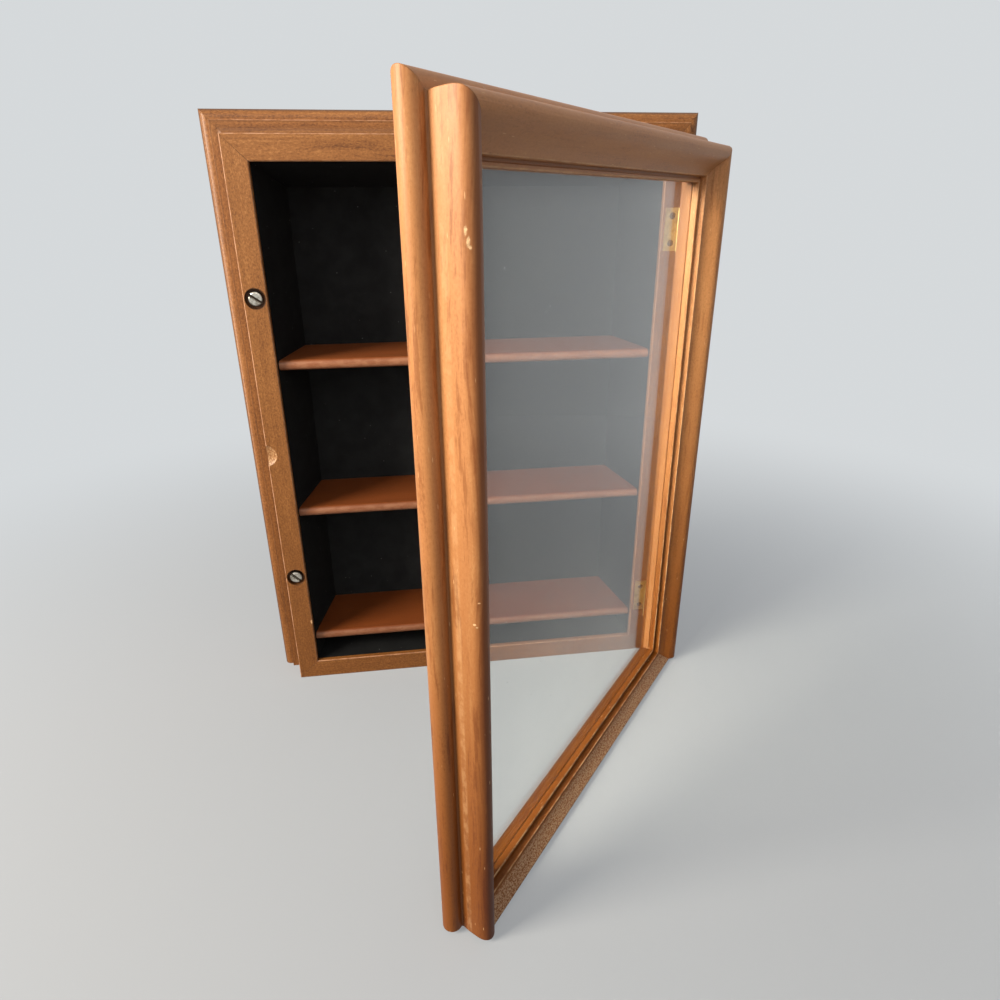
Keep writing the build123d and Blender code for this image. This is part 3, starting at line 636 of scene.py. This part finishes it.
def metal(name, bright, tarnish, rough, blotch_mm, slots=()):
    """Plated or solid metal, duller and browner in blotches, with fine scratches.

    A slot is (x, z, angle, half its width) in mm and degrees: a point within that half width
    of the line through (x, z) at that angle is darkened, and the head's edge gets painted shade.
    """
    f = Finish(name)
    x, y, z = (f.millimetres(a, (0, 0, 0)) for a in (X, Y, Z))
    patch = f.noise(f.point(x / blotch_mm, y / blotch_mm, z / blotch_mm), 4.0, 0.65)
    lines = f.noise(f.point(x / 0.15, y / 0.15, z / 2.5), 2.0)
    colour = f.mix(patch.rise(0.42, 0.68), bright, tarnish)
    for at_x, at_z, angle, half in slots:
        turn = radians(angle)
        off = ((x - at_x) * -sin(turn) + (z - at_z) * cos(turn)).math("ABSOLUTE")
        from_centre = f.apart(f.point(x, 0.0, z), (at_x, 0.0, at_z))
        near = from_centre.fall(*HEAD_ENDS)
        # the slot is darkened, and the head's edge gets painted shade
        colour = f.mix(off.fall(half, half + 0.15) * near, colour, SLOT_DARK_AND_RIM_SHADE)
        colour = f.mix(from_centre.rise(*HEAD_EDGE) * near * 0.85, colour, SLOT_DARK_AND_RIM_SHADE)
    roughness = patch * 0.25 + lines * 0.10 + (rough - 0.17)
    skin = f.node("BsdfPrincipled", {
        "Base Color": colour, "Metallic": 1.0, "Roughness": roughness,
        "Normal": f.bump(lines * 0.6 + patch * 0.4, 0.05),
    })
    return f.surface(skin)


dress([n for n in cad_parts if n.startswith("hinge") and "nails" not in n],
      metal("dull_brass", (0.82, 0.61, 0.25), (0.58, 0.39, 0.14), 0.40, 3.0))
dress(["hinge_case_nails", "hinge_door_nails"],
      metal("bronzed_nails", (0.34, 0.25, 0.15), (0.14, 0.09, 0.05), 0.26, 0.9))
SLOTS = ((-99.5, 217.5, -35.0, 0.48), (-99.5, 68.0, -45.0, 0.48))
dress(["catch_screws"],
      metal("plated_screw", (0.62, 0.58, 0.50), (0.26, 0.22, 0.17), 0.34, 1.6, SLOTS))
dress(["magnet_upper", "magnet_lower"],
      metal("plated_magnet", (0.66, 0.66, 0.68), (0.42, 0.42, 0.44), 0.28, 3.5))

# %% [markdown]
# ## Glass
# Real glass bends and mirrors light, but a path tracer finds its way through a pane only by
# luck, and the felt behind it would stay too dark.  The usual trick is used: rays from the
# lamps pass a Transparent shader instead.  A little dust keeps the pane visible, and a pale
# film that thickens upwards is a painted reflection, brighter towards the top.

# %% Pane
def pane():
    """Clear glass under dust: smears, a few specks, and a pale film that thickens upwards as a
    painted reflection.
    """
    f = Finish("window_glass")
    x, y, z = (f.millimetres(a, (0, 0, 0)) for a in (X, Y, Z))
    smear = f.noise(f.point(x / 40.0, y / 40.0, z / 25.0), 3.0, 0.6).rise(0.40, 0.75)
    where = f.point(x / 5.5, y / 5.5, z / 5.5)
    chance = f.node("SeparateColor", {0: f.cells(where, "Color")})
    speck = f.cells(where).fall(0.025, 0.065) * chance.rise(0.50, 0.56)
    clear = f.node("BsdfPrincipled", {
        "Base Color": (0.955, 0.985, 0.975), "Roughness": 0.0,
        "Transmission Weight": 1.0, "IOR": 1.5,
    })
    dust = f.node("BsdfDiffuse", {"Color": (0.60, 0.62, 0.65)})
    # the part that grows upwards stands in for the pane's reflection: painted reflection; the
    # rest is dust
    film = smear * 0.020 + z.rise(60.0, 270.0) * 0.095 + 0.008
    dusted = f.node("MixShader", {0: speck * 0.7 + film, 1: clear, 2: dust})
    lamp_ray = f.node("LightPath", output="Is Shadow Ray")
    through = f.node("BsdfTransparent", {"Color": (0.93, 0.95, 0.94)})
    return f.surface(f.node("MixShader", {0: lamp_ray, 1: dusted, 2: through}))


dress(["door_glass"], pane())

# %% [markdown]
# ## Studio
# The floor is one large plain sheet.  Near the case it takes the lamps and the object's
# shadow; further out it fades to the background's own colour, so that no horizon shows.
# One large soft lamp stands to the left, in front and above, close enough that its light
# falls off towards the foot of the case, and a weak fill keeps the far sides readable.

# %% Floor and background
BACKDROP = (0.67, 0.695, 0.71)
FLOOR = (0.36, 0.365, 0.37)
FLOOR_BOUNCE = (0.16, 0.16, 0.165)


SEEN_RAYS = ("Is Camera Ray", "Is Glossy Ray", "Is Transmission Ray")


def seen_directly(tree):
    """1 for rays from the camera, from mirrors and through glass, and 0 for the rest."""
    rays = tree.nodes.new("ShaderNodeLightPath")
    camera_ray, glossy, transmitted = (Wire(tree, rays.outputs[name]) for name in SEEN_RAYS)
    return camera_ray.math("MAXIMUM", glossy).math("MAXIMUM", transmitted)


def floor_finish():
    """Matt paint, a third the backdrop's colour near the case and all of it from 0.65 m on."""
    f = Finish("studio_floor")
    seen = seen_directly(f.tree)
    far = f.apart(f.place, (0.0, -0.1, 0.0)).rise(0.15, 0.65) * 0.65 + 0.35
    paint = f.node("BsdfDiffuse", {"Color": f.mix(seen, FLOOR_BOUNCE, FLOOR)})
    glow = f.node("Emission", {"Color": BACKDROP, "Strength": 1.0})
    return f.surface(f.node("MixShader", {0: seen * far, 1: paint, 2: glow}))


floor_mesh = bpy.data.meshes.new("studio_floor")
REACH = 12.0                    # metres from the middle of the floor to its edges
corners = [(REACH * i, REACH * j, 0.0) for i, j in ((-1, -1), (1, -1), (1, 1), (-1, 1))]
floor_mesh.from_pydata(corners, [], [(0, 1, 2, 3)])
floor = bpy.data.objects.new("studio_floor", floor_mesh)
scene.collection.objects.link(floor)
floor_mesh.materials.append(floor_finish())

AMBIENT, AMBIENT_STRENGTH = (0.87, 0.91, 1.0), 0.40
world = bpy.data.worlds.new("studio")
scene.world = world
world.use_nodes = True
tree = world.node_tree
tree.nodes.clear()
choose = tree.nodes.new("ShaderNodeMixShader")
feed(tree, choose.inputs[0], seen_directly(tree))
for socket, colour, strength in ((1, AMBIENT, AMBIENT_STRENGTH), (2, BACKDROP, 1.0)):
    sky = tree.nodes.new("ShaderNodeBackground")
    feed(tree, sky.inputs["Color"], colour)
    sky.inputs["Strength"].default_value = strength
    tree.links.new(sky.outputs[0], choose.inputs[socket])
output = tree.nodes.new("ShaderNodeOutputWorld")
tree.links.new(choose.outputs[0], output.inputs["Surface"])

# %% Lamps
def soft_lamp(name, place, aim, size, watts, colour):
    """A square lamp of the given size in metres, turned to face the point aim."""
    lamp = bpy.data.objects.new(name, bpy.data.lights.new(name, "AREA"))
    scene.collection.objects.link(lamp)
    lamp.data.shape, lamp.data.size = "SQUARE", size
    lamp.data.energy, lamp.data.color = watts, colour
    look = (Vector(aim) - Vector(place)).to_track_quat("-Z", "Y").to_matrix().to_4x4()
    lamp.matrix_world = Matrix.Translation(place) @ look
    lamp.visible_camera = False
    return lamp


# name, place, what it faces, size in metres, watts, colour
soft_lamp("window", (-0.86, -0.43, 0.58), (0.0, -0.08, 0.16), 0.40, 19.0, (1.0, 0.93, 0.82))
soft_lamp("fill", (-0.10, -1.15, 1.00), (0.0, 0.0, 0.20), 1.0, 4.0, (1.0, 0.96, 0.90))
scene.view_settings.view_transform = "Standard"
